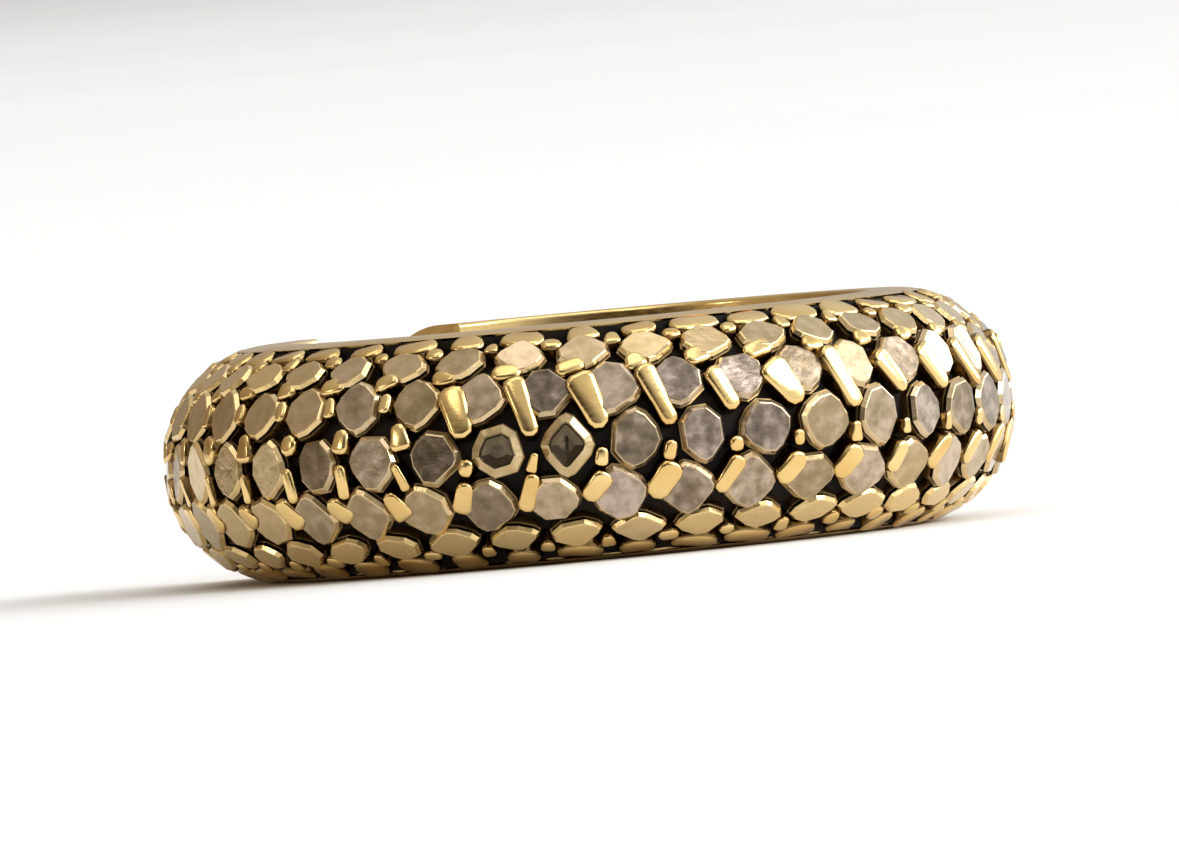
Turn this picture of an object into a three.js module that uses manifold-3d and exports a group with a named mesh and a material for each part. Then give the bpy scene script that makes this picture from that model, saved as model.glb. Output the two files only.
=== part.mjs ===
// An ear cuff: an open, half-round hoop of polished yellow metal that grips the rim of the ear.
// Its face is a blackened ground between two thin rims, paved with rows of small octagonal stones that
// stand in slightly zigzag columns, with a slim metal grain leaning across each meeting of four stones.
// The hoop lies on its side. The origin is on its axis, at the height of the lower rim, and +Z runs
// along the axis. The side that faces out when it is worn looks along -Y, and the opening is at the
// back left.
import * as THREE from "three";
import { mergeVertices } from "three/addons/utils/BufferGeometryUtils.js";
import Module from "manifold-3d";

const wasm = await Module();
wasm.setup();

// Driving sizes of the hoop, in millimetres.
const innerDiameter = 9.8;
const bandThickness = 2.3;
const bandWidth = 4;
const rimWidth = 0.45;
const rimChamfer = 0.08;
const sleeveThickness = 0.4;
const sideWall = 0.15;
const openingWidth = 3.4;
const endWall = 1;
const fieldClearance = 0.04;

// Driving sizes of the stones and grains, in millimetres.
const stoneDiameter = 0.9;
const tableShare = 0.82;
const crownDepth = 0.06;
const columnGap = 0.25;
const rowGap = 0.04;
const footGap = 0.02;
const groundDepth = 0.25;
const grainLength = 0.56;
const grainWidth = 0.24;
const grainTaper = 0.55;
const grainDrop = 0.02;

// Angles about the hoop's axis, in degrees from +X, and how finely round shapes are faceted.
const openingDirection = 135;
const firstColumn = -84;
const hoopSides = 78;
const faceSteps = 16;
const stoneSides = 8;

// The rows of stones, from the middle of the face outwards; further rows are like the last. Size is the
// share of the full stone diameter. Below and above are how far the row on that side of the middle is
// moved round the hoop, in columns.
const rowChart = [
  { size: 1, below: 0, above: 0 },
  { size: 0.95, below: -0.27, above: -0.27 },
  { size: 0.84, below: 0, above: -0.64 },
];

const innerRadius = innerDiameter / 2;
const outerRadius = innerRadius + bandThickness;
const halfWidth = bandWidth / 2;
const faceFoot = innerRadius + rimWidth;
const faceRise = outerRadius - faceFoot;
const channelFloor = innerRadius + sleeveThickness;
const channelHalf = halfWidth - sideWall;
const fieldFoot = channelFloor + fieldClearance;
const fieldHalf = channelHalf - fieldClearance;
const grainRise = groundDepth - grainDrop;
const beyond = 1;

const radians = THREE.MathUtils.degToRad;
const { lerp } = THREE.MathUtils;

// A closed three.js geometry as a manifold solid.
function solidOf(geometry) {
  const bare = geometry.clone();
  bare.deleteAttribute("normal");
  bare.deleteAttribute("uv");
  const merged = mergeVertices(bare, 1e-5);
  return new wasm.Manifold(
    new wasm.Mesh({
      numProp: 3,
      vertProperties: merged.attributes.position.array,
      triVerts: new Uint32Array(merged.index.array),
    }),
  );
}

// A manifold solid as a three.js geometry.
function geometryOf(solid) {
  const { numProp, numVert, vertProperties, triVerts } = solid.getMesh();
  const positions = new Float32Array(numVert * 3);
  for (let i = 0; i < numVert; i++) {
    positions.set(vertProperties.subarray(i * numProp, i * numProp + 3), i * 3);
  }
  const geometry = new THREE.BufferGeometry();
  geometry.setAttribute("position", new THREE.BufferAttribute(positions, 3));
  geometry.setIndex(new THREE.BufferAttribute(new Uint32Array(triVerts), 1));
  geometry.computeVertexNormals();
  return geometry;
}

// The half-round face in section: x is the distance from the hoop's axis and y the height. It is level
// with the tables of the stones and runs between the given heights below and above its middle.
function faceCurve(edgeHalf) {
  const edge = Math.asin(edgeHalf / halfWidth);
  return new THREE.EllipseCurve(faceFoot, halfWidth, faceRise, halfWidth, -edge, edge);
}

// A whole ring of the given section, turned about the hoop's axis.
function ringOf(section) {
  const ring = new THREE.LatheGeometry([...section, section[0]], hoopSides);
  return solidOf(ring.rotateX(Math.PI / 2));
}

// A straight slot of the given width from the hoop's axis out through the opening.
function slot(width) {
  const reach = outerRadius + beyond;
  const block = new THREE.BoxGeometry(reach, width, bandWidth + 2 * beyond);
  block.translate(reach / 2, 0, halfWidth);
  return solidOf(block.rotateZ(radians(openingDirection)));
}

// The hoop: the sleeve with its two flat rims, the side walls and the two solid ends, in one piece.
function hoopSolid() {
  const section = [
    new THREE.Vector2(innerRadius + rimChamfer, bandWidth),
    new THREE.Vector2(innerRadius, bandWidth - rimChamfer),
    new THREE.Vector2(innerRadius, rimChamfer),
    new THREE.Vector2(innerRadius + rimChamfer, 0),
    ...faceCurve(halfWidth).getPoints(faceSteps),
  ];
  const channel = ringOf([
    new THREE.Vector2(channelFloor, halfWidth + channelHalf),
    new THREE.Vector2(channelFloor, halfWidth - channelHalf),
    new THREE.Vector2(outerRadius + beyond, halfWidth - channelHalf),
    new THREE.Vector2(outerRadius + beyond, halfWidth + channelHalf),
  ]);
  const betweenEnds = channel.subtract(slot(openingWidth + 2 * endWall));
  return ringOf(section).subtract(betweenEnds).subtract(slot(openingWidth));
}

// The rows that fit between the middle of the face and a rim, spread to fill it.
const face = faceCurve(fieldHalf);
const faceHalf = face.getLength() / 2;

function rowsOutwards() {
  const charted = (number) => rowChart[Math.min(number, rowChart.length - 1)];
  const outwards = [{ ...charted(0), along: 0 }];
  const edgeOf = ({ along, size }) => along + (size * stoneDiameter) / 2 + rowGap;
  for (let next = 1; ; next++) {
    const last = outwards[outwards.length - 1];
    const row = { ...charted(next), along: edgeOf(last) + (charted(next).size * stoneDiameter) / 2 };
    if (edgeOf(row) > faceHalf) {
      const spread = faceHalf / edgeOf(last);
      return outwards.map((kept) => ({ ...kept, along: kept.along * spread }));
    }
    outwards.push(row);
  }
}

// All the rows from the lower rim to the upper one, and the columns. Along is measured up the face.
const [middleRow, ...outerRows] = rowsOutwards();
const rows = [
  ...outerRows.map(({ size, below, along }) => ({ size, shift: below, along: -along })).reverse(),
  { size: middleRow.size, shift: middleRow.above, along: 0 },
  ...outerRows.map(({ size, above, along }) => ({ size, shift: above, along })),
];
const columns = Math.floor((2 * Math.PI * outerRadius) / (stoneDiameter + columnGap));
const columnNumbers = Array.from({ length: columns }, (_, i) => i);

function columnAngle(column) {
  return radians(firstColumn) + (column * 2 * Math.PI) / columns;
}

function radiusAt(along) {
  return face.getPointAt((1 + along / faceHalf) / 2).x;
}

// A frame on the face: its own +X runs round the hoop, +Y out of the face and -Z up the face.
function frameAt(along, column) {
  const angle = columnAngle(column);
  const point = face.getPointAt((1 + along / faceHalf) / 2);
  const tangent = face.getTangentAt((1 + along / faceHalf) / 2);
  const round = new THREE.Vector3(-Math.sin(angle), Math.cos(angle), 0);
  const out = new THREE.Vector3(tangent.y * Math.cos(angle), tangent.y * Math.sin(angle), -tangent.x);
  const frame = new THREE.Matrix4().makeBasis(round, out, round.clone().cross(out));
  return frame.setPosition(point.x * Math.cos(angle), point.x * Math.sin(angle), point.y);
}

// Whether something of the given radius stands clear of the hoop's two ends.
function clearOfOpening(along, column, radius) {
  const fromOpening = columnAngle(column) - radians(openingDirection);
  const sideways = Math.abs(radiusAt(along) * Math.sin(fromOpening));
  return Math.cos(fromOpening) < 0 || sideways > openingWidth / 2 + endWall + fieldClearance + radius;
}

// The creases of the ground between the rows of stones, each nearer the row of smaller stones.
const creases = rows.slice(1).map((upper, i) => {
  const lower = rows[i];
  const share = lower.size / (lower.size + upper.size);
  return { along: lerp(lower.along, upper.along, share), shift: (lower.shift + upper.shift) / 2 };
});

// A ring of corners where patches of the ground meet. Each has its point on the ground, the top of the
// grain that stands there, and whether one does.
function cornerRing(shift, cornerAt) {
  return columnNumbers.map((number) => cornerAt(number - 0.5 + shift));
}

function creaseCorners({ along, shift }) {
  return cornerRing(shift, (column) => {
    const frame = frameAt(along, column);
    return {
      ground: new THREE.Vector3(0, -groundDepth, 0).applyMatrix4(frame),
      top: new THREE.Vector3(0, -grainDrop, 0).applyMatrix4(frame),
      hasGrain: clearOfOpening(along, column, grainLength / 2),
    };
  });
}

function sideCorners(radius, side, shift, along = null) {
  return cornerRing(shift, (column) => {
    const angle = columnAngle(column);
    const about = (reach) => new THREE.Vector3().setFromCylindricalCoords(reach, angle, side);
    const upright = ({ x, y, z }) => new THREE.Vector3(z, x, halfWidth + y);
    return {
      ground: upright(about(radius)),
      top: upright(about(radius + grainRise)),
      hasGrain: along !== null && clearOfOpening(along, column, grainLength / 2),
    };
  });
}

// All the rings in turn: up over the face, crease by crease, and back through the foot of the channel.
function cornerRings() {
  const edgeRadius = (fieldFoot + radiusAt(faceHalf)) / 2;
  const low = rows[0].shift;
  const high = rows[rows.length - 1].shift;
  return [
    sideCorners(edgeRadius, -fieldHalf, low, -faceHalf),
    ...creases.map(creaseCorners),
    sideCorners(edgeRadius, fieldHalf, high, faceHalf),
    sideCorners(fieldFoot, fieldHalf, high),
    sideCorners(fieldFoot, -fieldHalf, low),
  ];
}

// The triangles of a convex outline.
function fan(outline) {
  return outline.slice(2).flatMap((point, i) => [outline[0], outline[i + 1], point]);
}

// One patch's outline on the ground, with a notch at each corner where a grain stands, and the quarter
// grain in each notch: a steep side and a flat top.
function notchedPatch(corners) {
  const outline = [];
  const quarters = [];
  corners.forEach((corner, i) => {
    if (!corner.hasGrain) return outline.push(corner.ground);
    const halves = i % 2 ? [grainWidth / 2, grainLength / 2] : [grainLength / 2, grainWidth / 2];
    const neighbours = [corners[(i + 3) % 4], corners[(i + 1) % 4]];
    const [before, after] = neighbours.map(({ ground }, side) =>
      corner.ground.clone().lerp(ground, halves[side] / corner.ground.distanceTo(ground)),
    );
    const [first, last] = [before, after].map((foot) =>
      foot.clone().sub(corner.ground).multiplyScalar(grainTaper).add(corner.top),
    );
    outline.push(before, after);
    quarters.push(...fan([before, first, last, after]), first, corner.top, last);
  });
  return { outline, quarters };
}

// The octagon of a stone at the given radius and depth in its own frame, and how a point is seen
// face on.
function octagon(radius, depth) {
  return Array.from({ length: stoneSides }, (_, i) => {
    const angle = ((i + 0.5) * 2 * Math.PI) / stoneSides;
    return new THREE.Vector3(radius * Math.cos(angle), -depth, -radius * Math.sin(angle));
  });
}

function faceOn(point) {
  return new THREE.Vector2(point.x, -point.z);
}

// The largest octagon in the middle of an outline that keeps half the gap to each of its sides.
function roomIn(outline) {
  const unit = octagon(1, 0).map(faceOn);
  const rooms = outline.map((from, i) => {
    const to = outline[(i + 1) % outline.length];
    const outward = new THREE.Vector2(to.y - from.y, from.x - to.x).normalize();
    const reach = Math.max(...unit.map((point) => point.dot(outward)));
    return (from.dot(outward) - footGap / 2) / reach;
  });
  return Math.min(...rooms);
}

// The ground round one stone and the stone on it: its sides, the crown's facets and the table. The
// sides draw in towards the foot where the ground leaves less room than the stone takes.
function stoneOnGround(outline, frame, girdle) {
  const inverse = frame.clone().invert();
  const placed = (point) => point.clone().applyMatrix4(frame);
  const flat = outline.map((point) => faceOn(point.clone().applyMatrix4(inverse)));
  const foot = Math.min(girdle, roomIn(flat));
  const rings = [octagon(foot, groundDepth), octagon(girdle, crownDepth), octagon(girdle * tableShare, 0)];
  const ground = THREE.ShapeUtils.triangulateShape(flat, [rings[0].map(faceOn)]);
  const [footRing, girdleRing, table] = rings.map((ring) => ring.map(placed));
  const band = (lower, upper) =>
    lower.flatMap((point, i) => {
      const next = (i + 1) % stoneSides;
      return fan([point, lower[next], upper[next], upper[i]]);
    });
  const points = [...outline, ...footRing];
  return [
    ...ground.flat().map((i) => points[i]),
    ...band(footRing, girdleRing),
    ...band(girdleRing, table),
    ...fan(table),
  ];
}

// The field as one closed skin, sewn from four-cornered patches, one to a stone.
function skin() {
  const rings = cornerRings();
  const points = rings.flatMap((ring, i) => {
    const row = rows[i];
    const above = rings[(i + 1) % rings.length];
    return columnNumbers.flatMap((number) => {
      const next = (number + 1) % columns;
      const corners = [ring[number], ring[next], above[next], above[number]];
      const { outline, quarters } = notchedPatch(corners);
      const radius = row ? (stoneDiameter / 2) * row.size : 0;
      if (!row || !clearOfOpening(row.along, number + row.shift, radius)) {
        return [...quarters, ...fan(outline)];
      }
      return [...quarters, ...stoneOnGround(outline, frameAt(row.along, number + row.shift), radius)];
    });
  });
  return solidOf(new THREE.BufferGeometry().setFromPoints(points));
}

// The paved field, cut off short of the hoop's two ends.
function fieldSolid() {
  return skin().subtract(slot(openingWidth + 2 * (endWall + fieldClearance)));
}

function meshOf(name, solid, material) {
  const mesh = new THREE.Mesh(geometryOf(solid), material);
  mesh.name = name;
  return mesh;
}

const polishedGold = new THREE.MeshStandardMaterial({ color: 0xd9ad5b, roughness: 0.2, metalness: 1 });
const smokyStones = new THREE.MeshStandardMaterial({ color: 0x7d6f66, roughness: 0.15, metalness: 0.4 });

const earCuff = new THREE.Group();
earCuff.name = "ear_cuff";
earCuff.add(meshOf("hoop", hoopSolid(), polishedGold));
earCuff.add(meshOf("pave_field", fieldSolid(), smokyStones));

export default earCuff;
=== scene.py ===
"""The looks of an open, half-round ear cuff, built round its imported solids.

The hoop is polished yellow metal. Its outer face is a blackened ground between two thin rims,
paved with smoky octagonal stones in thin collars, and slim metal grains lean across the gaps.
Shapes are modelled in millimetres and brought to metres at the end.
"""

import logging
import math
from collections.abc import Callable, Iterator, Sequence
from dataclasses import dataclass, field
from enum import Enum, IntEnum
from random import Random

import bmesh
import bpy
from bmesh.types import BMEdge, BMesh, BMFace
from bpy.types import Material, Mesh, NodeSocket as Socket, NodeTree, Object
from mathutils import Matrix, Vector


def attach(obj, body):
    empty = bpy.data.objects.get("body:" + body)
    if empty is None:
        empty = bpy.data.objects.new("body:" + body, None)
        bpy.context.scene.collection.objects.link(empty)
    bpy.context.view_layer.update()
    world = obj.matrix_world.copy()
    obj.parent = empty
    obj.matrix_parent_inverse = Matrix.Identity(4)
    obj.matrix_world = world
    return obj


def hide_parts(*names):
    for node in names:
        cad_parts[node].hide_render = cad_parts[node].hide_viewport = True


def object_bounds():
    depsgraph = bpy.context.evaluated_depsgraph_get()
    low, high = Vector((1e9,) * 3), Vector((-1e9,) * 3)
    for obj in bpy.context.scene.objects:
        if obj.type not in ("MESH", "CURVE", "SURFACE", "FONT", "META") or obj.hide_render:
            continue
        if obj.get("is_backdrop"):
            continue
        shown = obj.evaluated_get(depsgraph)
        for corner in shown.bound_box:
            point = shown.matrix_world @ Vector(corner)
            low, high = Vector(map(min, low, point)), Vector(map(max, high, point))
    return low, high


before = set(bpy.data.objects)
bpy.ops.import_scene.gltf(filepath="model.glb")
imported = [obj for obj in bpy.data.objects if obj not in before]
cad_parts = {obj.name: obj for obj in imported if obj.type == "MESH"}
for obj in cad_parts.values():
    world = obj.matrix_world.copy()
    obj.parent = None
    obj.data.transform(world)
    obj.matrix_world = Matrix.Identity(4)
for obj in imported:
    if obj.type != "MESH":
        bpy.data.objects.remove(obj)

CAD_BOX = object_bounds()
MILLIMETRE = 0.001
AXIS = Vector((0, 0, 1))

# Within these lengths vertices are one, or lie on a cutting plane, an end's inner face or the bore
WELD = 1e-4
CUT_TOLERANCE = 1e-5
LIP_TOLERANCE = 1e-3
BORE_TOLERANCE = 0.01

Colour = tuple[float, float, float]
Stop = tuple[float, Colour]
Spread = tuple[float, float]
Cuts = list[tuple[float, int]]

logging.basicConfig(level=logging.INFO, format="%(message)s")
log = logging.getLogger("ear_cuff")


class Slot(Enum):
    """The record's material slots."""

    METAL = "polished_metal"
    STONES = "smoky_stones"


class Half(Enum):
    """The halves of the hoop, as the front shows them."""

    BOTH = "both"
    LEFT = "left"
    RIGHT = "right"


class Facet(IntEnum):
    """What a face of a stone is, kept as its material number until the stone is shaded."""

    SIDE = 0
    CROWN = 1
    TABLE = 2
    HOLLOW = 3


class Cut(Enum):
    """How a stone's table is cut."""

    FLAT = "flat"
    SPLIT = "split in two facets"
    HOLLOWED = "hollowed"


class Node(Enum):
    """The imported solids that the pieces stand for."""

    HOOP = "hoop"
    FIELD = "pave_field"


class Side(IntEnum):
    """The sides of the opening, looking out of it."""

    LEFT = 1
    RIGHT = -1


# Shader helpers


def add_ramp(tree: NodeTree, value: Socket, stops: Sequence[Stop]) -> Socket:
    """Adds a colour ramp to a node tree.

    Args:
        tree: The node tree.
        value: What the ramp reads.
        stops: Each stop's place from 0 to 1, and its red, green and blue.

    Returns:
        The ramp's colour socket.
    """
    ramp = tree.nodes.new("ShaderNodeValToRGB")
    elements = ramp.color_ramp.elements
    while len(elements) < len(stops):
        elements.new(0.5)
    for element, (at, colour) in zip(elements, stops):
        element.position = at
        element.color = (*colour, 1)
    tree.links.new(value, ramp.inputs["Fac"])
    return ramp.outputs["Color"]


class Shader:
    """A material's node tree, with short ways to add what the finishes need."""

    NOISE_SPAN = (0.3, 0.7)

    def __init__(self, name: str) -> None:
        """Starts a material with one principled shader.

        Args:
            name: The material's name.
        """
        self.material = bpy.data.materials.new(name)
        self.material.use_nodes = True
        self.nodes = self.material.node_tree.nodes
        self.links = self.material.node_tree.links
        self.surface = self.nodes["Principled BSDF"]
        self.place = self.nodes.new("ShaderNodeTexCoord").outputs["Object"]

    def set(self, **values: object) -> None:
        """Sets sockets of the principled shader by name, with underscores for spaces."""
        for name, value in values.items():
            self.surface.inputs[name.replace("_", " ")].default_value = value

    def noise(self, scale: float, detail: float, stretch: Vector | None = None) -> Socket:
        """Adds a noise on the object's own coordinates.

        Args:
            scale: How many spots of noise there are to a metre.
            detail: How many finer layers are added.
            stretch: Scale along each axis, or none.

        Returns:
            The noise's value socket.
        """
        place = self.place
        if stretch is not None:
            mapping = self.nodes.new("ShaderNodeMapping")
            mapping.inputs["Scale"].default_value = stretch
            self.links.new(place, mapping.inputs["Vector"])
            place = mapping.outputs["Vector"]
        noise = self.nodes.new("ShaderNodeTexNoise")
        noise.inputs["Scale"].default_value = scale
        noise.inputs["Detail"].default_value = detail
        self.links.new(place, noise.inputs["Vector"])
        return noise.outputs["Fac"]

    def ramp(self, value: Socket, stops: Sequence[Stop]) -> Socket:
        """Adds a colour ramp as add_ramp does, and gives its colour socket."""
        return add_ramp(self.material.node_tree, value, stops)

    def span(self, value: Socket, low: float, high: float) -> Socket:
        """Spreads a noise over a span of values.

        Args:
            value: The noise's value socket.
            low: What its usual low end becomes.
            high: What its usual high end becomes.

        Returns:
            The spread value's socket.
        """
        span = self.nodes.new("ShaderNodeMapRange")
        ends = (*self.NOISE_SPAN, low, high)
        for socket, end in zip(("From Min", "From Max", "To Min", "To Max"), ends):
            span.inputs[socket].default_value = end
        self.links.new(value, span.inputs["Value"])
        return span.outputs["Result"]

    def mix(self, share: Socket, first: Socket | Colour, second: Socket | Colour) -> Socket:
        """Mixes two colours.

        Args:
            share: The second colour's share.
            first: The first colour.
            second: The second colour.

        Returns:
            The mixed colour's socket.
        """
        mix = self.nodes.new("ShaderNodeMix")
        mix.data_type = "RGBA"
        for slot, colour in (("A", first), ("B", second)):
            socket = next(s for s in mix.inputs if s.name == slot and s.type == "RGBA")
            if isinstance(colour, Socket):
                self.links.new(colour, socket)
            else:
                socket.default_value = (*colour, 1)
        self.links.new(share, mix.inputs["Factor"])
        return next(s for s in mix.outputs if s.type == "RGBA")

    def attribute(self, name: str) -> Socket:
        """Reads a number that the mesh holds for each face.

        Args:
            name: The number's name in the mesh.

        Returns:
            The number's socket.
        """
        attribute = self.nodes.new("ShaderNodeAttribute")
        attribute.attribute_name = name
        return attribute.outputs["Fac"]

    def link(self, value: Socket, socket: str) -> None:
        """Leads a value into the principled shader."""
        self.links.new(value, self.surface.inputs[socket])

    def bump(self, height: Socket, strength: float, distance: float) -> None:
        """Raises the surface by a height.

        Args:
            height: The height's socket.
            strength: The bump's strength from 0 to 1.
            distance: How high a height of 1 is, in metres.
        """
        bump = self.nodes.new("ShaderNodeBump")
        bump.inputs["Strength"].default_value = strength
        bump.inputs["Distance"].default_value = distance
        self.links.new(height, bump.inputs["Height"])
        self.links.new(bump.outputs["Normal"], self.surface.inputs["Normal"])


# Finishes


@dataclass(frozen=True)
class YellowMetal:
    """Polished yellow metal with faint rubbing and an uneven tone, darker by patina and painted
    shade.
    """

    name: str = "yellow_metal"
    pale: Colour = (0.94, 0.70, 0.31)
    deep: Colour = (0.76, 0.49, 0.17)
    # Mixed in where the mesh asks: patina and painted shade on the grains' upright sides.
    patina_and_shade: Colour = (0.10, 0.055, 0.018)
    smooth: float = 0.10
    rubbed: float = 0.26

    def build(self) -> Material:
        """Makes the material.

        Returns:
            The material.
        """
        shader = Shader(self.name)
        shader.set(Metallic=1.0)
        tone = shader.ramp(shader.noise(scale=900, detail=5), [(0.3, self.deep), (0.7, self.pale)])
        shader.link(shader.mix(shader.attribute("patina_and_shade"), tone, self.patina_and_shade), "Base Color")
        rubbing = shader.noise(scale=4200, detail=6, stretch=Vector((1, 1, 5)))
        shader.link(shader.span(rubbing, self.smooth, self.rubbed), "Roughness")
        shader.bump(rubbing, strength=0.12, distance=0.00001)
        return shader.material


@dataclass(frozen=True)
class SmokyStone:
    """A dark taupe stone with a metallic lustre, mottled, each a little different from the next."""

    name: str = "smoky_stone"
    black: Colour = (0.012, 0.008, 0.004)
    dark: Colour = (0.18, 0.13, 0.092)
    light: Colour = (0.52, 0.41, 0.33)
    # The warmth mixes towards this colour: partly each stone's own tint, partly painted warm
    # reflection.
    warm: Colour = (0.82, 0.59, 0.25)
    mottling: float = 0.65

    def build(self) -> Material:
        """Makes the material, which reads each face's shade and warmth, both carrying painted
        shade, highlight and warm reflection besides each stone's own tone.

        Returns:
            The material.
        """
        shader = Shader(self.name)
        shader.set(Metallic=0.85, IOR=2.0, Coat_Weight=0.3, Coat_Roughness=0.06)
        mottle = shader.span(shader.noise(scale=4200, detail=9), -self.mottling, self.mottling)
        added = shader.nodes.new("ShaderNodeMath")
        shader.links.new(mottle, added.inputs[0])
        shader.links.new(shader.attribute("shade"), added.inputs[1])
        lifted = shader.nodes.new("ShaderNodeMapRange")
        lifted.inputs["From Min"].default_value = -1
        shader.links.new(added.outputs["Value"], lifted.inputs["Value"])
        tones = [(0.0, self.black), (0.5, self.dark), (1.0, self.light)]
        shaded = shader.ramp(lifted.outputs["Result"], tones)
        shader.link(shader.mix(shader.attribute("warmth"), shaded, self.warm), "Base Color")
        clouds = shader.noise(scale=5200, detail=4)
        shader.link(shader.span(clouds, low=0.12, high=0.30), "Roughness")
        shader.bump(clouds, strength=0.35, distance=0.00002)
        return shader.material


@dataclass(frozen=True)
class BlackenedMetal:
    """The dark ground between the stones, matt and pitted, with a trace of the metal's colour."""

    name: str = "blackened_metal"
    black: Colour = (0.004, 0.0028, 0.002)
    brown: Colour = (0.026, 0.015, 0.007)

    def build(self) -> Material:
        """Makes the material.

        Returns:
            The material.
        """
        shader = Shader(self.name)
        shader.set(Specular_IOR_Level=0.2)
        pits = shader.noise(scale=3800, detail=6)
        shader.link(shader.ramp(pits, [(0.4, self.black), (0.75, self.brown)]), "Base Color")
        shader.link(shader.span(pits, low=0.55, high=0.8), "Roughness")
        shader.bump(pits, strength=0.5, distance=0.00003)
        return shader.material


@dataclass(frozen=True)
class PaleFloor:
    """A plain, pale, matt floor."""

    name: str = "pale_floor"
    colour: Colour = (0.88, 0.87, 0.85)
    dimming: float = 0.97

    def build(self) -> Material:
        """Makes the material.

        Returns:
            The material.
        """
        shader = Shader(self.name)
        tone = shader.noise(scale=3, detail=2)
        shade = tuple(self.dimming * part for part in self.colour)
        shader.link(shader.ramp(tone, [(0.3, shade), (0.7, self.colour)]), "Base Color")
        shader.set(Roughness=0.75)
        return shader.material


# Making and handing over pieces


def finish_piece(
    name: str,
    mesh: BMesh,
    material: Material,
    slot: Slot,
    node: Node,
    smooth_degrees: float = 0,
) -> Object:
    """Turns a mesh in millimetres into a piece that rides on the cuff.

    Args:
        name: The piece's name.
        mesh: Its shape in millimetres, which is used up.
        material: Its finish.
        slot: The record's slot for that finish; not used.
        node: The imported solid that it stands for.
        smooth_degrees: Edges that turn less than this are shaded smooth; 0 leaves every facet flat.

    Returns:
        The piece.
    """
    bmesh.ops.scale(mesh, vec=(MILLIMETRE, MILLIMETRE, MILLIMETRE), verts=mesh.verts)
    data = bpy.data.meshes.new(name)
    mesh.to_mesh(data)
    mesh.free()
    data.materials.append(material)
    if smooth_degrees:
        data.shade_smooth()
        data.set_sharp_from_angle(angle=math.radians(smooth_degrees))
    piece = bpy.data.objects.new(name, data)
    bpy.context.collection.objects.link(piece)
    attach(piece, "root")
    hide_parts(node.value)
    return piece


def close_and_turn_out(mesh: BMesh) -> None:
    """Merges doubled vertices and turns every face outwards."""
    bmesh.ops.remove_doubles(mesh, verts=mesh.verts, dist=WELD)
    bmesh.ops.recalc_face_normals(mesh, faces=mesh.faces)


def top_face(mesh: BMesh) -> BMFace:
    """Finds the face that lies highest."""
    return max(mesh.faces, key=lambda face: face.calc_center_median().z)


def upright_edges(mesh: BMesh, least: float) -> list[BMEdge]:
    """Finds the edges that rise by more than the given height."""
    return [edge for edge in mesh.edges if abs(edge.verts[0].co.z - edge.verts[1].co.z) > least]


def bevel_edges(mesh: BMesh, edges: list[BMEdge], offset: float, segments: int) -> list[BMFace]:
    """Bevels edges.

    Args:
        mesh: The mesh that they are in.
        edges: The edges.
        offset: How far the bevel reaches.
        segments: How many flats it has.

    Returns:
        The faces of the bevel.
    """
    return bmesh.ops.bevel(
        mesh, geom=edges, offset=offset, offset_type="OFFSET", segments=segments, profile=0.5,
        affect="EDGES", clamp_overlap=True, material=-1,
    )["faces"]


def section_outline(
    points: list[Vector], mesh: BMesh, corners: Callable[[Vector], float]
) -> None:
    """Lays a closed section in the XZ plane as one face, with some of its corners rounded.

    Args:
        points: The section's corners in order.
        mesh: The mesh to add it to.
        corners: Gives a corner's rounding radius, or 0 for a sharp one.
    """
    verts = [mesh.verts.new(point) for point in points]
    mesh.faces.new(verts)
    for radius in sorted({corners(point) for point in points} - {0}):
        rounded = [vert for vert in mesh.verts if vert in verts and corners(vert.co) == radius]
        bmesh.ops.bevel(
            mesh, geom=rounded, offset=radius, offset_type="OFFSET", segments=4,
            profile=0.5, affect="VERTICES", material=-1,
        )


def spin_ring(mesh: BMesh, steps: int) -> None:
    """Spins a section into a whole ring.

    Args:
        mesh: The section, as one face of more than four corners.
        steps: How many flats the ring has.
    """
    bmesh.ops.spin(
        mesh, geom=[*mesh.verts, *mesh.edges], cent=(0, 0, 0), axis=AXIS, angle=2 * math.pi,
        steps=steps, use_merge=True, use_duplicate=False,
    )
    section = [face for face in mesh.faces if len(face.verts) > 4]
    bmesh.ops.delete(mesh, geom=section, context="FACES_ONLY")
    close_and_turn_out(mesh)


# The half-round face and the layout of the stones on it


@dataclass(frozen=True)
class HoopSizes:
    """The sizes of the hoop, in millimetres and degrees.

    They are the solids' own, except for thinner side walls.
    """

    inner_radius: float = 4.9
    band_thickness: float = 2.3
    band_width: float = 4.0
    rim_width: float = 0.45
    sleeve: float = 0.4
    side_wall: float = 0.07
    opening: float = 3.4
    end_wall: float = 1.0
    clearance: float = 0.04
    opening_direction: float = 135.0

    @property
    def half_width(self) -> float:
        """Half the width of the band."""
        return self.band_width / 2

    @property
    def foot(self) -> float:
        """The radius at which the half-round face meets the flat rims."""
        return self.inner_radius + self.rim_width

    @property
    def rise(self) -> float:
        """How far the half-round face rises over its foot."""
        return self.band_thickness - self.rim_width

    @property
    def channel_half(self) -> float:
        """Half the width of the channel between the side walls."""
        return self.half_width - self.side_wall

    def face_point(self, angle: float, sink: float = 0.0) -> Vector:
        """Gives a point of the half-round section.

        Args:
            angle: The section's own angle from its middle, in radians.
            sink: How far under the face the point is.

        Returns:
            The point, with the radius as X and the height as Z.
        """
        radius = self.foot + self.rise * math.cos(angle)
        point = Vector((radius, 0, self.half_width * (1 + math.sin(angle))))
        return point - self.face_normal(angle) * sink

    def face_normal(self, angle: float) -> Vector:
        """The outward direction of the section at an angle of its own."""
        normal = Vector((self.half_width * math.cos(angle), 0, self.rise * math.sin(angle)))
        return normal.normalized()

    def edge_angle(self, half: float) -> float:
        """The section's own angle at a distance from its middle."""
        return math.asin(half / self.half_width)


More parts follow.
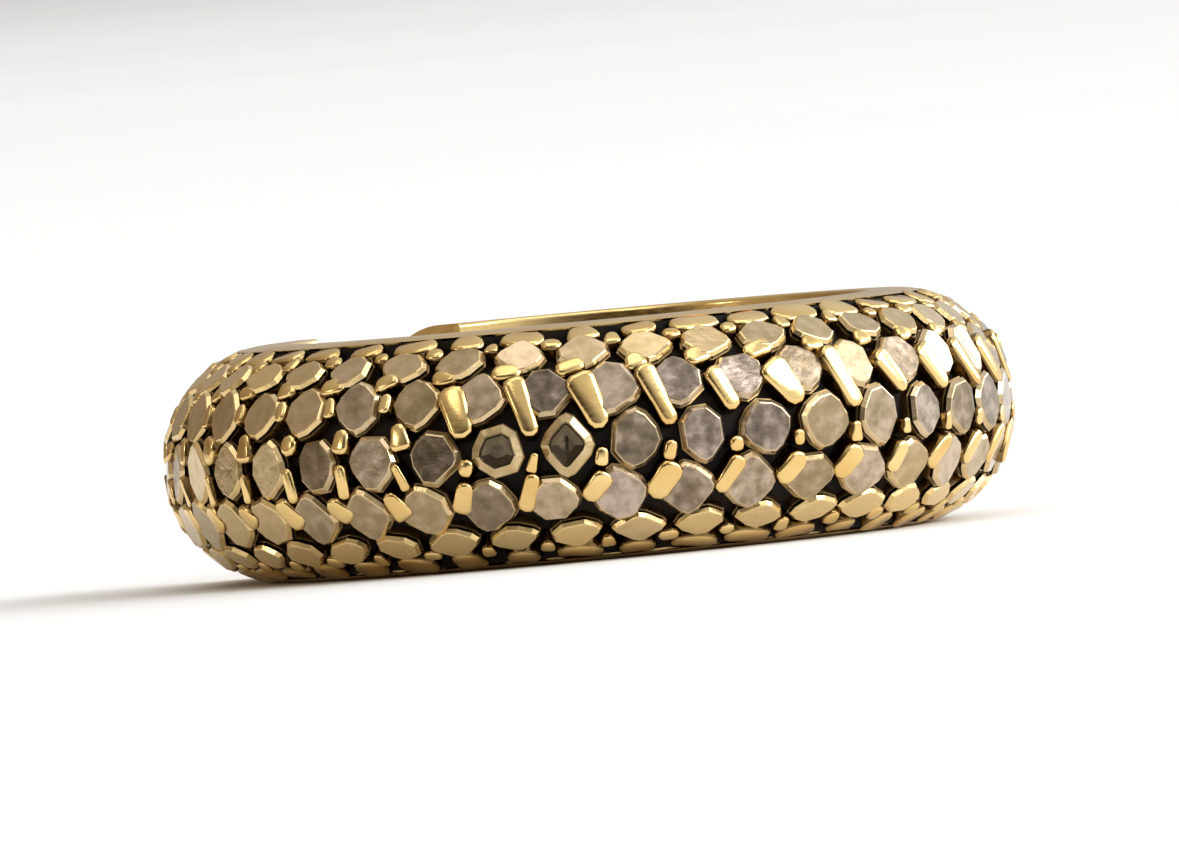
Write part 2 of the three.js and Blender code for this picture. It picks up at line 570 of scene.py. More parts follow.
class Face:
    """The half-round face between the side walls, measured along its section."""

    STEPS = 400

    def __init__(self, sizes: HoopSizes) -> None:
        """Measures the section from one side wall to the other.

        Args:
            sizes: The hoop's sizes.
        """
        edge = sizes.edge_angle(sizes.channel_half - sizes.clearance)
        self.sizes = sizes
        self.angles = [edge * (2 * i / self.STEPS - 1) for i in range(self.STEPS + 1)]
        self.lengths = [0.0]
        for before, after in zip(self.angles, self.angles[1:]):
            step = (sizes.face_point(after) - sizes.face_point(before)).length
            self.lengths.append(self.lengths[-1] + step)
        self.half = self.lengths[-1] / 2

    def angle_at(self, along: float) -> float:
        """Finds the section's own angle, in radians.

        Args:
            along: The length up from its middle.

        Returns:
            The angle.
        """
        wanted = along + self.half
        reached = (i for i, length in enumerate(self.lengths) if length >= wanted)
        after = next(reached, self.STEPS)
        before = max(after - 1, 0)
        gap = self.lengths[after] - self.lengths[before]
        share = (wanted - self.lengths[before]) / gap if gap else 0.0
        return self.angles[before] + (self.angles[after] - self.angles[before]) * share

    def seat(self, along: float, around: float, sink: float = 0.0) -> Matrix:
        """Gives the frame of a thing that stands on the face.

        Args:
            along: How far up the face it stands, from the middle.
            around: Its angle about the hoop's axis, in radians.
            sink: How far under the face its origin is.

        Returns:
            A matrix whose X runs round the hoop, Y up the face and Z out of it.
        """
        angle = self.angle_at(along)
        turn = Matrix.Rotation(around, 4, "Z")
        out = self.sizes.face_normal(angle)
        round_hoop = Vector((0, 1, 0))
        axes = Matrix((round_hoop, out.cross(round_hoop), out)).transposed().to_4x4()
        return turn @ Matrix.Translation(self.sizes.face_point(angle, sink)) @ axes


@dataclass(frozen=True)
class Row:
    """One row of stones round the hoop.

    Lengths are in millimetres, the shift is in columns, and the warmth is a share, a painted warm
    reflection.
    """

    along: float
    size: float
    height: float
    shift: float
    warmth: float


@dataclass(frozen=True)
class Grains:
    """A ring of grains, one to a column, in millimetres, columns of shift and degrees.

    The tip is how far they face upwards, the taper is the upper end's share of the width, and the
    lift is how far they stand out of the face.
    """

    along: float
    shift: float
    lean: float
    length: float
    width: float
    half: Half = Half.BOTH
    taper: float = 0.8
    lift: float = 0.055
    tip: float = 0.0


@dataclass(frozen=True)
class Layout:
    """Where the stones and grains stand.

    Lengths are in millimetres, shifts in columns and angles in degrees. The shares are the part
    sizes tried next to the two ends.
    """

    face: Face
    stone: float = 0.9
    columns: int = 39
    first_column: float = -84.0
    right_half: tuple[int, int] = (-3, 17)
    # Each row's last number is painted warm reflection, most on the lowest and the highest rows.
    rows: tuple[Row, ...] = (
        Row(-1.70, 0.90, 0.76, 0.0, 0.80),
        Row(-0.955, 0.98, 1.05, -0.27, 0.10),
        Row(0.0, 0.94, 1.12, 0.0, 0.02),
        Row(0.965, 0.96, 1.02, -0.27, 0.06),
        Row(1.75, 0.90, 0.88, -0.64, 0.40),
    )
    grain_rings: tuple[Grains, ...] = (
        Grains(0.72, 0.40, -27, 1.04, 0.37, Half.RIGHT, 1.3, tip=-4),
        Grains(0.38, 0.50, 0, 0.46, 0.42, Half.LEFT),
        Grains(0.98, 0.24, 0, 0.40, 0.22, Half.LEFT),
        Grains(-0.24, 0.50, 8, 0.32, 0.24, Half.RIGHT),
        Grains(-0.76, 0.39, 30, 0.74, 0.34, Half.RIGHT, 1.0),
        Grains(-0.30, 0.47, -12, 0.56, 0.24, Half.LEFT),
        Grains(-0.80, 0.30, -32, 0.58, 0.36, Half.LEFT),
        Grains(1.43, 0.15, -12, 0.34, 0.52, lift=0.02),
        Grains(-1.98, 0.50, 0, 0.30, 0.34, lift=0.02),
        Grains(2.02, -0.14, 0, 0.30, 0.34, lift=0.02),
        Grains(-2.38, 0.0, 0, 0.60, 0.82, lift=-0.012),
        Grains(2.38, 0.36, 0, 0.60, 0.80, lift=-0.012),
    )
    hollowed: tuple[int, ...] = (37, 38)
    shares: tuple[float, ...] = (1.0, 0.82, 0.64, 0.48)
    # Painted warm reflection on the sides of the hoop, at its most on the left and on the right,
    # full from warm_from degrees off the front.
    side_painted_warmth: Spread = (0.50, 0.16)
    warm_from: float = 55.0

    def angle(self, column: float) -> float:
        """The angle of a column about the hoop's axis."""
        return math.radians(self.first_column) + column * 2 * math.pi / self.columns

    def clear(self, along: float, column: float, radius: float) -> bool:
        """Tells whether a thing stands clear of the two solid ends.

        Args:
            along: How far up the face it stands, from the middle.
            column: Its column, with its shift.
            radius: Half its width.

        Returns:
            Whether it is clear.
        """
        sizes = self.face.sizes
        off = self.angle(column) - math.radians(sizes.opening_direction)
        reach = sizes.face_point(self.face.angle_at(along)).x
        wall = sizes.opening / 2 + sizes.end_wall + sizes.clearance
        return math.cos(off) < 0 or abs(reach * math.sin(off)) > wall + radius

    def stones(self) -> Iterator[tuple[Row, int, float, float]]:
        """Goes over every stone.

        Returns:
            Each stone's row, its number, its angle about the axis and its share of the full size.
        """
        for row in self.rows:
            for number in range(self.columns):
                column = number + row.shift
                for share in self.shares:
                    if self.clear(row.along, column, self.stone * row.size * share / 2):
                        yield row, number, self.angle(column), share
                        break

    def painted_warming(self, around: float) -> float:
        """Tells how much painted warm reflection the stones take away from the front.

        Args:
            around: The angle about the hoop's axis, in radians.

        Returns:
            The painted warmth to add, which is larger on the left than on the right.
        """
        from_front = math.acos(-math.sin(around))
        left, right = self.side_painted_warmth
        most = left + (right - left) * (1 + math.cos(around)) / 2
        return most * min(1.0, (from_front / math.radians(self.warm_from)) ** 2)

    def in_half(self, half: Half, number: int) -> bool:
        """Tells whether a column is in a half of the hoop.

        Args:
            half: The half, or both.
            number: The column's number.

        Returns:
            Whether it is in that half.
        """
        first, last = self.right_half
        right = first <= number <= last or first <= number - self.columns <= last
        return half is Half.BOTH or right == (half is Half.RIGHT)

    def grains(self) -> Iterator[tuple[Grains, float]]:
        """Goes over every grain.

        Returns:
            Each grain's ring and its angle about the axis.
        """
        for ring in self.grain_rings:
            for number in range(self.columns):
                column = number + ring.shift
                clear = self.clear(ring.along, column, ring.width / 2)
                if clear and self.in_half(ring.half, number):
                    yield ring, self.angle(column)


# The hoop


@dataclass
class Hoop:
    """The polished hoop: a channelled band and its two solid ends.

    Lengths are in millimetres and angles in degrees. Before it is cut, an end starts at end_from
    off the middle of the opening.
    """

    sizes: HoopSizes
    metal: Material
    rim_round: float = 0.07
    rail_round: float = 0.035
    end_round: float = 0.16
    end_round_steps: int = 5
    end_from: float = 8.0
    end_sweep: float = 34.0
    end_steps: int = 34
    overlap: float = 0.01
    ring_steps: int = 240
    rim_steps: int = 8
    face_steps: int = 40
    smooth_degrees: float = 35.0

    def opening_axes(self) -> tuple[Vector, Vector]:
        """The direction out through the opening, and the one across it."""
        turn = Matrix.Rotation(math.radians(self.sizes.opening_direction), 3, "Z")
        out = turn @ Vector((1, 0, 0))
        return out, AXIS.cross(out)

    def face_points(self, low: float, high: float, steps: int) -> list[Vector]:
        """Points of the half-round section between two angles of its own."""
        return [self.sizes.face_point(low + (high - low) * i / steps) for i in range(steps + 1)]

    def rounding(self, point: Vector) -> float:
        """Gives the rounding of a corner of the section.

        Args:
            point: The corner.

        Returns:
            The rounding's radius, or 0 for a sharp corner.
        """
        sizes = self.sizes
        rail = sizes.face_point(sizes.edge_angle(sizes.channel_half)).x
        if point.x < sizes.inner_radius + BORE_TOLERANCE:
            return self.rim_round
        beside = abs(abs(point.z - sizes.half_width) - sizes.channel_half) < WELD
        return self.rail_round if beside and abs(point.x - rail) < WELD else 0

    def band(self) -> Object:
        """Makes the sleeve with its rims and side walls, which stops inside the solid ends.

        Returns:
            The piece.
        """
        sizes = self.sizes
        rail = sizes.edge_angle(sizes.channel_half)
        floor = sizes.inner_radius + sizes.sleeve
        points = [
            Vector((sizes.inner_radius, 0, 0)),
            *self.face_points(-math.pi / 2, -rail, self.rim_steps),
            Vector((floor, 0, sizes.half_width - sizes.channel_half)),
            Vector((floor, 0, sizes.half_width + sizes.channel_half)),
            *self.face_points(rail, math.pi / 2, self.rim_steps),
            Vector((sizes.inner_radius, 0, sizes.band_width)),
        ]
        mesh = bmesh.new()
        section_outline(points, mesh, self.rounding)
        spin_ring(mesh, self.ring_steps)
        cut_opening(mesh, *self.opening_axes(), sizes.opening / 2 + sizes.end_wall - self.overlap)
        return finish_piece("band", mesh, self.metal, Slot.METAL, Node.HOOP, self.smooth_degrees)

    def end(self, side: Side) -> Object:
        """Makes one solid end.

        Args:
            side: The side of the opening that it is on.

        Returns:
            The piece.
        """
        sizes = self.sizes
        out, across = self.opening_axes()
        mesh = bmesh.new()
        points = [
            Vector((sizes.inner_radius, 0, 0)),
            *self.face_points(-math.pi / 2, math.pi / 2, self.face_steps),
            Vector((sizes.inner_radius, 0, sizes.band_width)),
        ]
        section_outline(points, mesh, self.rounding)
        first = math.radians(sizes.opening_direction + side * self.end_from)
        turn = Matrix.Rotation(first, 3, "Z")
        bmesh.ops.rotate(mesh, cent=(0, 0, 0), matrix=turn, verts=mesh.verts)
        bmesh.ops.spin(
            mesh, geom=[*mesh.faces], cent=(0, 0, 0), axis=AXIS,
            angle=math.radians(side * self.end_sweep), steps=self.end_steps,
            use_merge=False, use_duplicate=False,
        )
        near, far = sizes.opening / 2, sizes.opening / 2 + sizes.end_wall
        for distance, outwards in ((near, -side), (far, side)):
            bmesh.ops.bisect_plane(
                mesh, geom=[*mesh.verts, *mesh.edges, *mesh.faces], dist=CUT_TOLERANCE,
                plane_co=across * side * distance, plane_no=across * outwards, clear_outer=True,
            )
            fill_holes(mesh)
        close_and_turn_out(mesh)
        lip = [
            edge for edge in mesh.edges
            if all(abs(vert.co.dot(across) - side * near) < LIP_TOLERANCE for vert in edge.verts)
        ]
        bevel_edges(mesh, lip, self.end_round, self.end_round_steps)
        bmesh.ops.dissolve_degenerate(mesh, dist=WELD, edges=mesh.edges)
        name = "end_left" if side is Side.LEFT else "end_right"
        return finish_piece(name, mesh, self.metal, Slot.METAL, Node.HOOP, self.smooth_degrees)


def fill_holes(mesh: BMesh) -> None:
    """Closes every open rim of a mesh."""
    rims = [edge for edge in mesh.edges if edge.is_boundary]
    bmesh.ops.holes_fill(mesh, edges=rims, sides=0)


def cut_opening(mesh: BMesh, out: Vector, across: Vector, half: float) -> None:
    """Cuts the opening through a whole ring and closes the two cut ends.

    Args:
        mesh: The ring.
        out: The direction out through the opening.
        across: The direction across it.
        half: Half the width of the cut.
    """
    for side in Side:
        near = [face for face in mesh.faces if face.calc_center_median().dot(out) > 0]
        edges = dict.fromkeys(edge for face in near for edge in face.edges)
        verts = dict.fromkeys(vert for face in near for vert in face.verts)
        bmesh.ops.bisect_plane(
            mesh, geom=[*verts, *edges, *near], dist=CUT_TOLERANCE,
            plane_co=across * side * half, plane_no=across * side,
        )
    centres = ((face, face.calc_center_median()) for face in mesh.faces)
    inside = [face for face, at in centres if at.dot(out) > 0 and abs(at.dot(across)) < half]
    bmesh.ops.delete(mesh, geom=inside, context="FACES")
    fill_holes(mesh)
    bmesh.ops.dissolve_degenerate(mesh, dist=WELD, edges=mesh.edges)
    bmesh.ops.recalc_face_normals(mesh, faces=mesh.faces)


# The paved field


@dataclass(frozen=True)
class StoneVariety:
    """How far the stones differ, each as the least and the most, with angles in degrees.

    The size, corner and split are shares of the stone's side, and the flats are those of a corner.
    """

    size: Spread = (0.90, 0.98)
    corner: Spread = (0.22, 0.38)
    flats: tuple[int, ...] = (1, 2, 2)
    width: Spread = (0.99, 1.08)
    height: Spread = (0.95, 1.03)
    tilt: float = 4.5
    turn: float = 15.0
    shade: Spread = (-0.25, 0.85)
    warmth: Spread = (-0.12, 0.18)
    split: Spread = (0.18, 0.34)


@dataclass(frozen=True)
class GrainVariety:
    """How far the grains differ, each as the least and the most share, with angles in degrees."""

    length: Spread = (0.8, 1.15)
    width: Spread = (0.8, 1.2)
    taper: Spread = (0.7, 1.25)
    tilt: float = 5.0
    turn: float = 12.0


@dataclass
class PavedField:
    """The ground of the channel, and the stones, collars and grains that stand on it.

    Lengths are in millimetres, a tone is a shade and a warmth, and feet, corners and edges without
    a length are shares of the piece's width or wall.
    """

    layout: Layout
    opening_axes: tuple[Vector, Vector]
    metal: Material
    # Dark gold for the collars: painted shade in the gaps round the stones.
    shaded_collar_metal: Material
    stone_finish: Material
    black: Material
    stone_variety: StoneVariety = StoneVariety()
    grain_variety: GrainVariety = GrainVariety()
    ground_depth: float = 0.27
    ground_steps: int = 24
    ring_steps: int = 200
    root: float = 0.05
    stone_foot: float = 0.9
    crown_depth: float = 0.075
    crown_width: float = 0.048
    ring_width: float = 0.115
    hollow_steps: tuple[Spread, ...] = ((0.03, -0.05), (0.12, -0.035))
    table_edge: float = 0.012
    least_split: float = 0.3
    # Stone sides are painted near black: painted shade in the gaps between the stones.
    side_painted_shade: Spread = (-1.2, 0.0)
    # The hollows in the table are painted near black: painted shade in the recess.
    hollow_painted_shade: Spread = (-1.1, 0.10)
    hollow_crown_tone: Spread = (0.15, 0.55)
    # Crown facets are painted lighter and warmer than their table by these amounts: a painted
    # highlight on each stone's edge.
    crown_painted_highlight: Spread = (0.5, 0.35)
    collar_wall: float = 0.016
    collar_depth: float = 0.14
    collar_foot: float = 0.93
    collar_edge: float = 0.6
    grain_root: float = 0.03
    grain_corner: float = 0.44
    grain_edge: float = 0.30
    most_grain_edge: float = 0.09
    upright_normal: float = 0.3
    # Grains' upright sides are darkened: painted shade, with some patina.
    side_patina_and_shade: float = 0.85
    seed: int = 7
    chance: Random = field(init=False)

    def __post_init__(self) -> None:
        """Seeds the small differences between the stones."""
        self.chance = Random(self.seed)

    def jitter(self, seat: Matrix, tilt: float, turn: float) -> Matrix:
        """Tips and turns a seat a little.

        Args:
            seat: The seat.
            tilt: The most that it tips about its X and its Y, in degrees.
            turn: The most that it turns about its Z, in degrees.

        Returns:
            The new seat.
        """
        for most, axis in ((tilt, "X"), (tilt, "Y"), (turn, "Z")):
            angle = math.radians(self.chance.uniform(-most, most))
            seat = seat @ Matrix.Rotation(angle, 4, axis)
        return seat

    def ground(self) -> Object:
        """Makes the blackened ground.

        Returns:
            The piece.
        """
        sizes = self.layout.face.sizes
        edge = self.layout.face.angles[-1]
        foot = sizes.inner_radius + sizes.sleeve + sizes.clearance
        half = sizes.channel_half - sizes.clearance
        steps = self.ground_steps
        arc = [
            sizes.face_point(edge * (2 * i / steps - 1), self.ground_depth)
            for i in range(steps + 1)
        ]
        points = [
            Vector((foot, 0, sizes.half_width - half)),
            Vector((arc[0].x, 0, sizes.half_width - half)),
            *arc,
            Vector((arc[-1].x, 0, sizes.half_width + half)),
            Vector((foot, 0, sizes.half_width + half)),
        ]
        mesh = bmesh.new()
        section_outline(points, mesh, lambda point: 0)
        spin_ring(mesh, self.ring_steps)
        cut_opening(mesh, *self.opening_axes, sizes.opening / 2 + sizes.end_wall + sizes.clearance)
        return finish_piece(
            "ground", mesh, self.black, Slot.STONES, Node.FIELD, smooth_degrees=40
        )

    def cut_square(self, side: float, cuts: Cuts, taper: float, top: float) -> BMesh:
        """Makes an upright block on a square with cut corners, narrower at its foot in the ground.

        Args:
            side: The square's side at the top.
            cuts: For each corner, the share of the side that it loses and its number of flats.
            taper: The foot's size as a share of the top's.
            top: The height of its top.

        Returns:
            The block.
        """
        foot = -self.ground_depth - self.root
        mesh = bmesh.new()
        bmesh.ops.create_cone(
            mesh, cap_ends=True, cap_tris=False, segments=4, radius1=side * taper / math.sqrt(2),
            radius2=side / math.sqrt(2), depth=top - foot,
            matrix=Matrix.Translation((0, 0, (top + foot) / 2)),
        )
        for number, (cut, flats) in enumerate(cuts):
            corner = Matrix.Rotation(number * math.pi / 2, 3, "Z") @ Vector((0, 1, 0))
            upright = upright_edges(mesh, (top - foot) / 2)
            edge = max(upright, key=lambda edge: edge.verts[0].co.dot(corner))
            bevel_edges(mesh, [edge], side * cut, flats)
        return mesh

    def head(self, side: float, cuts: Cuts, cut: Cut) -> Mesh:
        """Makes one cut stone: straight sides, eight crown facets and a table.

        Args:
            side: The side of the square that it is cut from.
            cuts: How much each corner loses.
            cut: How its table, which lies at the origin, is cut.

        Returns:
            The stone, with each face's Facet as its material number.
        """
        mesh = self.cut_square(side, cuts, self.stone_foot, -self.crown_depth)
        hollowed = cut is Cut.HOLLOWED
        top = top_face(mesh)
        crown = bmesh.ops.inset_region(
            mesh, faces=[top], thickness=self.ring_width if hollowed else self.crown_width,
            depth=self.crown_depth, use_even_offset=True,
        )["faces"]
        for face in crown:
            face.material_index = Facet.CROWN
        top.material_index = Facet.TABLE
        for face in bevel_edges(mesh, [*top.edges], self.table_edge, 1):
            face.material_index = Facet.CROWN
        tables = [face for face in mesh.faces if face.material_index == Facet.TABLE]
        table = max(tables, key=lambda face: face.calc_area())
        if hollowed:
            for thickness, depth in self.hollow_steps:
                walls = bmesh.ops.inset_region(
                    mesh, faces=[table], thickness=thickness, depth=depth, use_even_offset=True
                )["faces"]
                for face in (table, *walls):
                    face.material_index = Facet.HOLLOW
        elif cut is Cut.SPLIT:
            least = side * self.least_split
            long_edges = [edge for edge in table.edges if edge.calc_length() > least]
            edge = self.chance.choice(long_edges or [*table.edges])
            offset = side * self.chance.uniform(*self.stone_variety.split)
            for face in bevel_edges(mesh, [edge], offset, 1):
                face.material_index = Facet.TABLE
        return as_shape(mesh)

    def collar(self, side: float, cuts: Cuts) -> Mesh:
        """Makes the collar that holds one stone, a little larger than it and below its crown.

        Args:
            side: The side of the square that the stone is cut from.
            cuts: How much each corner of the stone loses.

        Returns:
            The collar.
        """
        width = side + 2 * self.collar_wall
        mesh = self.cut_square(width, cuts, self.collar_foot, -self.collar_depth)
        bevel_edges(mesh, [*top_face(mesh).edges], self.collar_wall * self.collar_edge, 2)
        return as_shape(mesh)

    def settings(self) -> tuple[Object, Object]:
        """Makes every stone and its collar.

        Returns:
            The stones and the collars.
        """
        variety, uniform, choice = self.stone_variety, self.chance.uniform, self.chance.choice
        stones, collars = bmesh.new(), bmesh.new()
        shade = stones.faces.layers.float.new("shade")
        warmth = stones.faces.layers.float.new("warmth")
        for row, number, around, share in self.layout.stones():
            side = self.layout.stone * row.size * share * uniform(*variety.size)
            cuts = [(uniform(*variety.corner), choice(variety.flats)) for _ in range(4)]
            width = uniform(*variety.width)
            squeeze = Matrix.Diagonal((width, row.height * uniform(*variety.height), 1, 1))
            seat = self.layout.face.seat(row.along, around)
            seat = self.jitter(seat, variety.tilt, variety.turn) @ squeeze
            hollowed = row.along == 0 and number in self.layout.hollowed
            cut = Cut.HOLLOWED if hollowed else choice((Cut.FLAT, Cut.SPLIT))
            own_shade = uniform(*variety.shade)
            # Besides its own random warmth, each stone takes its row's and its side's painted warm
            # reflection.
            own_warmth = row.warmth + uniform(*variety.warmth) + self.layout.painted_warming(around)
            # The crown's tone is the table's, made lighter and warmer: a painted highlight.
            highlight_shade, highlight_warmth = self.crown_painted_highlight
            crown_highlight_tone = (own_shade + highlight_shade, own_warmth + highlight_warmth)
            # Sides and hollows are painted near black as shade, crowns carry a painted highlight,
            # and only the tables keep each stone's own random tone.
            tones = {
                Facet.SIDE: self.side_painted_shade,
                Facet.HOLLOW: self.hollow_painted_shade,
                Facet.CROWN: self.hollow_crown_tone if hollowed else crown_highlight_tone,
                Facet.TABLE: (own_shade, own_warmth),
            }
            for face in add_copy(stones, self.head(side, cuts, cut), seat):
                face[shade], warm = tones[Facet(face.material_index)]
                face[warmth] = min(1, max(0, warm))
                face.material_index = 0
            add_copy(collars, self.collar(side, cuts), seat)
        return (
            finish_piece("stones", stones, self.stone_finish, Slot.STONES, Node.FIELD),
            finish_piece(
                "collars", collars, self.shaded_collar_metal, Slot.METAL, Node.FIELD, smooth_degrees=50
            ),
        )

    def grain(self, length: float, width: float, taper: float, lift: float) -> Mesh:
        """Makes one grain, a pad along Y with a flat top, whose upright faces are material 1.

        Args:
            length: How long it is.
            width: How wide it is at its lower end.
            taper: The share of that width that it has at its upper end.
            lift: How far its top stands out of the face.

        Returns:
            The grain.
        """
        mesh = bmesh.new()
        height = self.ground_depth + lift + self.grain_root
        bmesh.ops.create_cube(mesh, size=1.0)
        bmesh.ops.scale(mesh, vec=(width, length, height), verts=mesh.verts)
        bmesh.ops.translate(mesh, vec=(0, 0, lift - height / 2), verts=mesh.verts)
        upper = [vert for vert in mesh.verts if vert.co.y > 0]
        bmesh.ops.scale(mesh, vec=(taper, 1, 1), verts=upper)
        narrow = min(width, width * taper, length)
        bevel_edges(mesh, upright_edges(mesh, height / 2), narrow * self.grain_corner, 2)
        edge = min(narrow * self.grain_edge, self.most_grain_edge)
        bevel_edges(mesh, [*top_face(mesh).edges], edge, 3)
        mesh.normal_update()
        for face in mesh.faces:
            face.material_index = int(abs(face.normal.z) < self.upright_normal)
        return as_shape(mesh)

    def grains(self) -> Object:
        """Makes every grain, leaning along the zigzag of the gaps.

        Returns:
            The piece.
        """
        mesh = bmesh.new()
        patina_and_shade = mesh.faces.layers.float.new("patina_and_shade")
        variety, uniform = self.grain_variety, self.chance.uniform
        for ring, around in self.layout.grains():
            seat = self.layout.face.seat(ring.along, around)
            seat = seat @ Matrix.Rotation(-math.radians(ring.lean), 4, "Z")
            seat = seat @ Matrix.Rotation(-math.radians(ring.tip), 4, "X")
            length = ring.length * uniform(*variety.length)
            width = ring.width * uniform(*variety.width)
            taper = ring.taper * uniform(*variety.taper)
            shape = self.grain(length, width, taper, ring.lift)
            for face in add_copy(mesh, shape, self.jitter(seat, variety.tilt, variety.turn)):
                # Upright faces get painted shade with patina; tops stay bright.
                face[patina_and_shade] = self.side_patina_and_shade * face.material_index
                face.material_index = 0
        return finish_piece(
            "grains", mesh, self.metal, Slot.METAL, Node.FIELD, smooth_degrees=60
        )


def as_shape(mesh: BMesh) -> Mesh:
    """Turns a mesh into a shape that add_copy can add.

    Args:
        mesh: The mesh, which is used up.

    Returns:
        The shape.
    """
    shape = bpy.data.meshes.new("shape")
    bmesh.ops.dissolve_degenerate(mesh, dist=WELD, edges=mesh.edges)
    mesh.to_mesh(shape)
    mesh.free()
    return shape


def add_copy(mesh: BMesh, shape: Mesh, place: Matrix) -> list[BMFace]:
    """Adds a shape to a mesh at a place and uses the shape up.

    Args:
        mesh: The mesh that grows.
        shape: What is added.
        place: Where it goes.

    Returns:
        The faces that were added.
    """
    shape.transform(place)
    before = len(mesh.faces)
    mesh.from_mesh(shape)
    bpy.data.meshes.remove(shape)
    mesh.faces.ensure_lookup_table()
    return mesh.faces[before:]


# The studio


@dataclass(frozen=True)
class SoftLight:
    """A square soft light, placed by its direction from the cuff, in degrees, metres and watts."""

    name: str
    azimuth: float
    elevation: float
    distance: float
    size: float
    power: float
    colour: Colour = (1, 1, 1)

    def build(self, target: Vector) -> None:
        """Hangs the light, facing the target.

        Args:
            target: What it lights, in metres.
        """
        data = bpy.data.lights.new(self.name, "AREA")
        data.size = self.size
        data.energy = self.power
        data.color = self.colour
        light = bpy.data.objects.new(self.name, data)
        bpy.context.collection.objects.link(light)
        direction = toward(self.azimuth, self.elevation)
        light.location = target + direction * self.distance
        light.rotation_euler = direction.to_track_quat("Z", "Y").to_euler()


def toward(azimuth: float, elevation: float) -> Vector:
    """Gives the direction from the cuff to a place in the room.

    Args:
        azimuth: The place's azimuth in degrees, 0 in front and positive to the right.
        elevation: Its height in degrees.

    Returns:
        The direction, of length 1.
    """
    turn, lift = math.radians(azimuth), math.radians(elevation)
    level = math.cos(lift)
    return Vector((math.sin(turn) * level, -math.cos(turn) * level, math.sin(lift)))


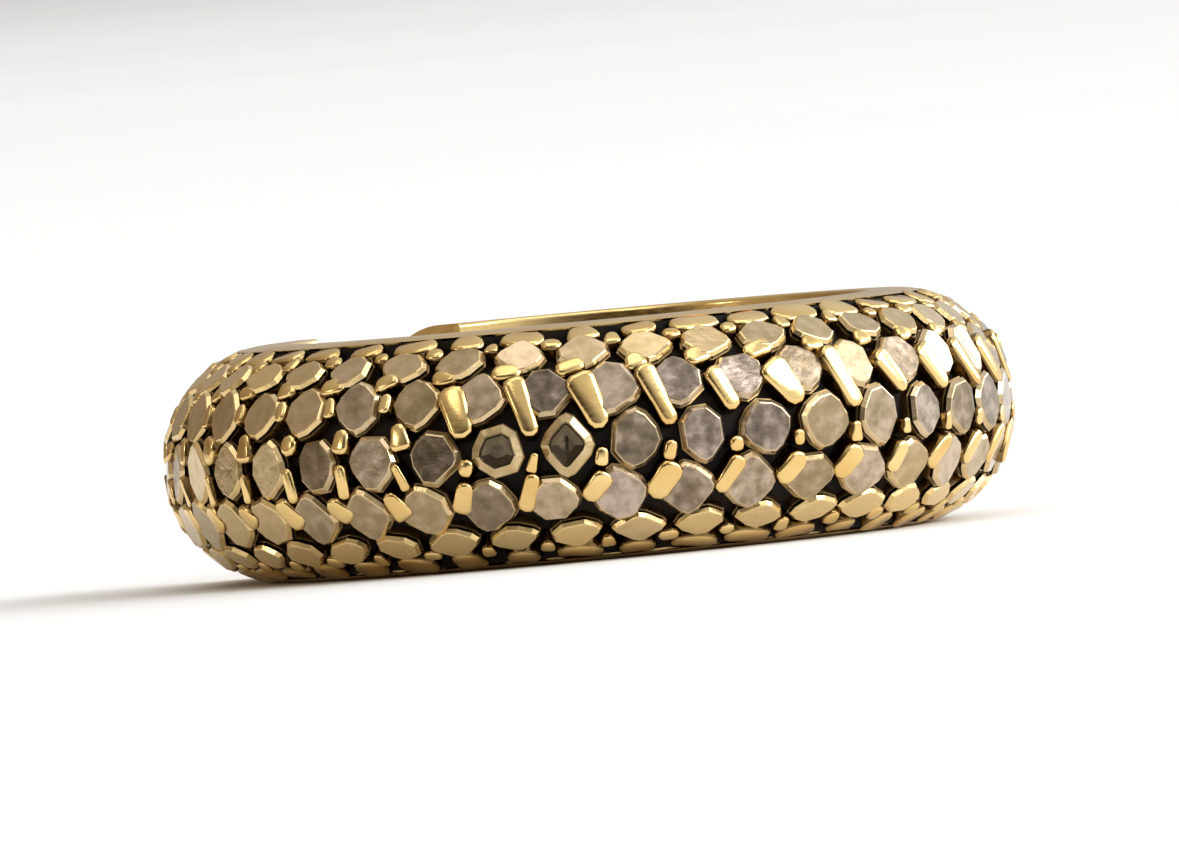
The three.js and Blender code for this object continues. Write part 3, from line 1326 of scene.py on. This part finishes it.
@dataclass
class Studio:
    """The floor, the lights and the camera, in metres and degrees.

    The tones colour the room by direction: from side to side, round the camera and at the back.
    """

    target: Vector
    azimuth: float = 0.0
    elevation: float = 1.2
    roll: float = 5.3
    distance: float = 0.45
    frame_share: float = 0.72
    subject_width: float = 0.0144
    sensor: float = 36.0
    near_clip: float = 0.01
    floor_half: float = 20.0
    floor_squares: int = 8
    room_strength: float = 1.15
    side_tones: tuple[Stop, ...] = (
        (-0.9, (0.34, 0.29, 0.23)),
        (0.0, (0.60, 0.59, 0.58)),
        (0.8, (0.80, 0.84, 0.90)),
    )
    shade_azimuth: float = -16.0
    shade_tones: tuple[Stop, ...] = ((0.70, (1, 1, 1)), (0.94, (0.12, 0.10, 0.08)))
    dim_azimuth: float = -145.0
    dim_tones: tuple[Stop, ...] = ((0.55, (1, 1, 1)), (0.95, (0.58, 0.50, 0.40)))
    lights: tuple[SoftLight, ...] = (
        SoftLight("key", 87, 26, 3.5, 2.0, 54, (0.97, 0.98, 1.0)),
        SoftLight("back_right", 126, 18, 3.5, 1.5, 30, (0.95, 0.97, 1.0)),
        SoftLight("glint_left", -62, 18, 3.0, 0.5, 4.0, (1.0, 0.96, 0.88)),
        SoftLight("glint_front", -30, 48, 3.0, 0.7, 3.5, (1.0, 0.96, 0.88)),
        SoftLight("glint_right", 52, 32, 3.0, 1.45, 38, (0.94, 0.97, 1.0)),
        SoftLight("top", 10, 80, 4.0, 3.0, 30, (1.0, 0.99, 0.97)),
    )

    def floor(self) -> None:
        """Lays the floor."""
        mesh = bmesh.new()
        squares = self.floor_squares
        bmesh.ops.create_grid(
            mesh, x_segments=squares, y_segments=squares, size=self.floor_half
        )
        data = bpy.data.meshes.new("floor")
        mesh.to_mesh(data)
        mesh.free()
        data.materials.append(PaleFloor().build())
        floor = bpy.data.objects.new("floor", data)
        bpy.context.collection.objects.link(floor)
        floor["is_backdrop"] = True

    def surroundings(self) -> None:
        """Fills the room with soft light, dimmer on the left, round the camera and at the back."""
        world = bpy.data.worlds.new("room")
        bpy.context.scene.world = world
        world.use_nodes = True
        nodes, links = world.node_tree.nodes, world.node_tree.links
        place = nodes.new("ShaderNodeTexCoord").outputs["Generated"]

        def toned(direction: Vector, stops: Sequence[Stop]) -> Socket:
            """Colours the room by how far a view turns from a direction.

            Args:
                direction: The direction.
                stops: The tones, from -1 opposite to 1 along it.

            Returns:
                The colour's socket.
            """
            along = nodes.new("ShaderNodeVectorMath")
            along.operation = "DOT_PRODUCT"
            along.inputs[1].default_value = direction
            links.new(place, along.inputs[0])
            half = nodes.new("ShaderNodeMapRange")
            half.inputs["From Min"].default_value = -1
            links.new(along.outputs["Value"], half.inputs["Value"])
            placed = [((at + 1) / 2, colour) for at, colour in stops]
            return add_ramp(world.node_tree, half.outputs["Result"], placed)

        colour = toned(Vector((1, 0, 0)), self.side_tones)
        shade = toned(toward(self.shade_azimuth, 0), self.shade_tones)
        dim = toned(toward(self.dim_azimuth, 0), self.dim_tones)
        for darkening in (shade, dim):
            both = nodes.new("ShaderNodeVectorMath")
            both.operation = "MULTIPLY"
            links.new(colour, both.inputs[0])
            links.new(darkening, both.inputs[1])
            colour = both.outputs["Vector"]
        links.new(colour, nodes["Background"].inputs["Color"])
        nodes["Background"].inputs["Strength"].default_value = self.room_strength

    def camera(self) -> None:
        """Sets the camera at the photograph's angle, filling the frame with the cuff."""
        data = bpy.data.cameras.new("camera")
        camera = bpy.data.objects.new("camera", data)
        bpy.context.collection.objects.link(camera)
        direction = toward(self.azimuth, self.elevation)
        camera.location = self.target + direction * self.distance
        look = direction.to_track_quat("Z", "Y").to_matrix().to_4x4()
        roll = Matrix.Rotation(math.radians(-self.roll), 4, "Z")
        camera.rotation_euler = (look @ roll).to_euler()
        data.sensor_width = self.sensor
        data.lens = data.sensor_width * self.frame_share * self.distance / self.subject_width
        data.clip_start = self.near_clip
        bpy.context.scene.camera = camera

    def build(self) -> None:
        """Sets the whole studio up."""
        self.floor()
        self.surroundings()
        for light in self.lights:
            light.build(self.target)
        self.camera()
        bpy.context.scene.view_settings.view_transform = "Standard"


def main() -> None:
    """Builds the cuff and the studio, and reports each piece."""
    sizes = HoopSizes()
    metal = YellowMetal().build()
    hoop = Hoop(sizes, metal)
    pieces = [hoop.band(), hoop.end(Side.LEFT), hoop.end(Side.RIGHT)]
    # The collars' dark brown gold stands for painted shade in the gaps round the stones.
    shaded_collar_metal = YellowMetal(
        "collar_metal_painted_shade", pale=(0.42, 0.28, 0.12), deep=(0.20, 0.12, 0.045), smooth=0.25, rubbed=0.45
    )
    paved = PavedField(
        layout=Layout(Face(sizes)),
        opening_axes=hoop.opening_axes(),
        metal=metal,
        shaded_collar_metal=shaded_collar_metal.build(),
        stone_finish=SmokyStone().build(),
        black=BlackenedMetal().build(),
    )
    pieces += [paved.ground(), *paved.settings(), paved.grains()]
    for piece in pieces:
        triangles = sum(len(face.vertices) - 2 for face in piece.data.polygons)
        log.info("%s: %d triangles", piece.name, triangles)
    Studio(Vector((0, 0, sizes.half_width * MILLIMETRE))).build()
    boxes = {"cad": CAD_BOX, "visual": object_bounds()}
    {name: [list(corner) for corner in box] for name, box in boxes.items()}
    log.info("sizes: %s", boxes)


if __name__ == "__main__":
    main()
